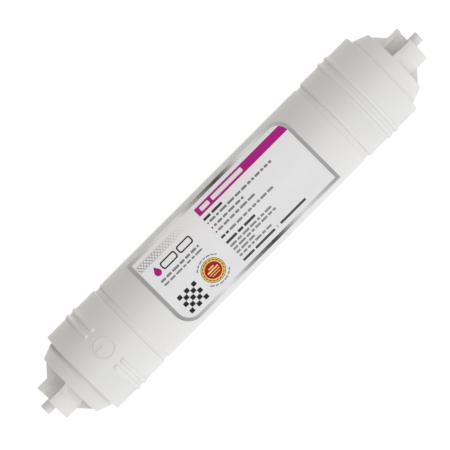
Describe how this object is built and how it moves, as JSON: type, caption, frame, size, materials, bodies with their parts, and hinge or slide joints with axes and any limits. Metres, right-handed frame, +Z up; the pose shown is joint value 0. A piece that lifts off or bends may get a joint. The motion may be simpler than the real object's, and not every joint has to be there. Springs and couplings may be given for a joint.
{
  "type": "inline water filter cartridge",
  "caption": "Sealed inline water filter cartridge: white plastic tube with a domed cap, slotted shroud and quarter-inch stem at each end, and a printed label.",
  "frame": {"origin": "on the surface that the cartridge lies on, below the middle of its length", "axes": "+X along the cartridge towards the outlet stem, +Z up through the middle of the label"},
  "size_m": [0.2832, 0.0552, 0.0551],
  "materials": {
    "white_plastic": "satin warm white moulded polypropylene",
    "label_film": "printed film with a metallic border",
    "plate_plastic": "moulded, matte",
    "nylon_mesh": "fine woven mesh",
    "felt": "non-woven felt",
    "sponge": "open-cell sponge",
    "mineral_balls": "rough unglazed balls",
    "ceramic_balls": "rough unglazed balls",
    "alkaline_balls": "rough unglazed balls"
  },
  "bodies": {
    "root": {"housing_tube": "white_plastic", "inlet_end_cap": "white_plastic", "outlet_end_cap": "white_plastic", "label": "label_film", "inlet_distributor_plate": "plate_plastic", "outlet_distributor_plate": "plate_plastic", "inlet_mesh_screen": "nylon_mesh", "outlet_mesh_screen": "nylon_mesh", "inlet_felt_disc": "felt", "outlet_felt_disc": "felt", "inlet_side_separator": "felt", "outlet_side_separator": "felt", "inlet_sponge_pad": "sponge", "outlet_sponge_pad": "sponge", "mineral_ball_bed": "mineral_balls", "ceramic_ball_bed": "ceramic_balls", "alkaline_ball_bed": "alkaline_balls"}
  },
  "joints": []
}
